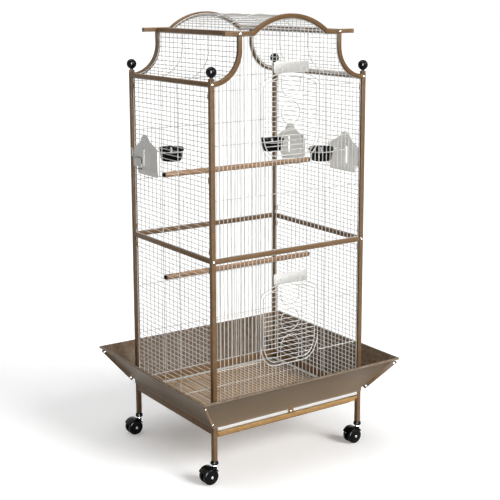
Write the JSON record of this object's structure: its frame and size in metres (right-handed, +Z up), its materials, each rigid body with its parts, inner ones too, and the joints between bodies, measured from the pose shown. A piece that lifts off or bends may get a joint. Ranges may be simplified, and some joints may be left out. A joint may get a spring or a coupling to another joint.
{
  "type": "bird cage",
  "caption": "Tall wire bird cage with a pagoda top, drop-down front doors, swing-out feeder cups, a flared seed skirt, a slide-out floor grille and tray, and swivel casters",
  "frame": {"origin": "on the floor under the middle of the cage", "axes": "+X right as seen facing the front doors, +Y from the front to the back, +Z up"},
  "size_m": [0.8074, 0.7142, 1.504],
  "materials": {
    "bronze": "satin bronze powder coat",
    "pearl": "pearl white powder coat",
    "zinc": "speckled grey powder coat on sheet",
    "black": "glossy black plastic",
    "skirt": "taupe metallic powder coat",
    "tray": "golden tan metallic powder coat",
    "beech": "bare beech"
  },
  "bodies": {
    "cage": {"post_front_left": "bronze", "finial_front_left": "black", "post_front_right": "bronze", "finial_front_right": "black", "top_frame_front": "bronze", "panel_front_upper": "pearl", "panel_front_lower": "pearl", "mid_rail_front": "bronze", "post_back_left": "bronze", "finial_back_left": "black", "post_back_right": "bronze", "finial_back_right": "black", "top_frame_back": "bronze", "panel_back_upper": "pearl", "panel_back_lower": "pearl", "mid_rail_back": "bronze", "top_rail_left": "bronze", "shoulder_rail_left": "bronze", "mid_rail_left": "bronze", "base_rail_left": "bronze", "panel_left_upper": "pearl", "panel_left_lower": "pearl", "roof_left": "pearl", "top_rail_right": "bronze", "shoulder_rail_right": "bronze", "mid_rail_right": "bronze", "base_rail_right": "bronze", "panel_right_upper": "pearl", "panel_right_lower": "pearl", "roof_right": "pearl", "base_rail_back": "bronze", "roof_middle": "pearl", "perch_upper": "beech", "perch_lower": "beech", "skirt_front": "skirt", "skirt_back": "skirt", "skirt_left": "skirt", "skirt_right": "skirt", "tray_runners": "zinc"},
    "front_door_upper": {"door_upper": "pearl", "latch_plate_upper": "zinc"},
    "front_door_lower": {"door_lower": "pearl", "latch_plate_lower": "zinc"},
    "feeder_left": {"feeder_door_left": "zinc"},
    "seed_cup_left": {"cup_left": "black"},
    "feeder_right_front": {"feeder_door_right_front": "zinc"},
    "seed_cup_right_front": {"cup_right_front": "black"},
    "feeder_right_back": {"feeder_door_right_back": "zinc"},
    "seed_cup_right_back": {"cup_right_back": "black"},
    "grille": {"floor_grille": "pearl", "grille_pull_tab": "bronze"},
    "tray": {"seed_tray": "tray"},
    "swivel_front_left": {"caster_front_left": "black"},
    "twin_wheel_front_left": {"wheel_front_left": "black"},
    "swivel_front_right": {"caster_front_right": "black"},
    "twin_wheel_front_right": {"wheel_front_right": "black"},
    "swivel_back_left": {"caster_back_left": "black"},
    "twin_wheel_back_left": {"wheel_back_left": "black"},
    "swivel_back_right": {"caster_back_right": "black"},
    "twin_wheel_back_right": {"wheel_back_right": "black"}
  },
  "joints": [
    {"name": "front_door_upper_hinge", "type": "hinge", "parent": "cage", "child": "front_door_upper", "pos_m": [0, -0.254, 1.04005], "axis": [1, 0, 0], "range_deg": [0, 95]},
    {"name": "front_door_lower_hinge", "type": "hinge", "parent": "cage", "child": "front_door_lower", "pos_m": [0, -0.254, 0.34905], "axis": [1, 0, 0], "range_deg": [0, 95]},
    {"name": "feeder_left_hinge", "type": "hinge", "parent": "cage", "child": "feeder_left", "pos_m": [-0.3074, 0.0695, 1.0145], "axis": [0, 0, 1], "range_deg": [0, 100]},
    {"name": "seed_cup_left_lift", "type": "slide", "parent": "feeder_left", "child": "seed_cup_left", "axis": [0, 0, 1], "range_m": [0, 0.055]},
    {"name": "feeder_right_front_hinge", "type": "hinge", "parent": "cage", "child": "feeder_right_front", "pos_m": [0.3074, -0.0695, 1.0145], "axis": [0, 0, 1], "range_deg": [0, 100]},
    {"name": "seed_cup_right_front_lift", "type": "slide", "parent": "feeder_right_front", "child": "seed_cup_right_front", "axis": [0, 0, 1], "range_m": [0, 0.055]},
    {"name": "feeder_right_back_hinge", "type": "hinge", "parent": "cage", "child": "feeder_right_back", "pos_m": [0.3074, 0.0695, 1.0145], "axis": [0, 0, -1], "range_deg": [0, 100]},
    {"name": "seed_cup_right_back_lift", "type": "slide", "parent": "feeder_right_back", "child": "seed_cup_right_back", "axis": [0, 0, 1], "range_m": [0, 0.055]},
    {"name": "grille_slide", "type": "slide", "parent": "cage", "child": "grille", "axis": [0, -1, 0], "range_m": [0, 0.45]},
    {"name": "tray_slide", "type": "slide", "parent": "cage", "child": "tray", "axis": [0, -1, 0], "range_m": [0, 0.45]},
    {"name": "swivel_front_left_turn", "type": "hinge", "parent": "cage", "child": "swivel_front_left", "pos_m": [-0.3, -0.254, 0.06], "axis": [0, 0, 1], "continuous": true},
    {"name": "twin_wheel_front_left_spin", "type": "hinge", "parent": "swivel_front_left", "child": "twin_wheel_front_left", "pos_m": [-0.322, -0.254, 0.027], "axis": [0, 1, 0], "continuous": true},
    {"name": "swivel_front_right_turn", "type": "hinge", "parent": "cage", "child": "swivel_front_right", "pos_m": [0.3, -0.254, 0.06], "axis": [0, 0, 1], "continuous": true},
    {"name": "twin_wheel_front_right_spin", "type": "hinge", "parent": "swivel_front_right", "child": "twin_wheel_front_right", "pos_m": [0.278, -0.254, 0.027], "axis": [0, 1, 0], "continuous": true},
    {"name": "swivel_back_left_turn", "type": "hinge", "parent": "cage", "child": "swivel_back_left", "pos_m": [-0.3, 0.254, 0.06], "axis": [0, 0, 1], "continuous": true},
    {"name": "twin_wheel_back_left_spin", "type": "hinge", "parent": "swivel_back_left", "child": "twin_wheel_back_left", "pos_m": [-0.322, 0.254, 0.027], "axis": [0, 1, 0], "continuous": true},
    {"name": "swivel_back_right_turn", "type": "hinge", "parent": "cage", "child": "swivel_back_right", "pos_m": [0.3, 0.254, 0.06], "axis": [0, 0, 1], "continuous": true},
    {"name": "twin_wheel_back_right_spin", "type": "hinge", "parent": "swivel_back_right", "child": "twin_wheel_back_right", "pos_m": [0.278, 0.254, 0.027], "axis": [0, 1, 0], "continuous": true}
  ]
}
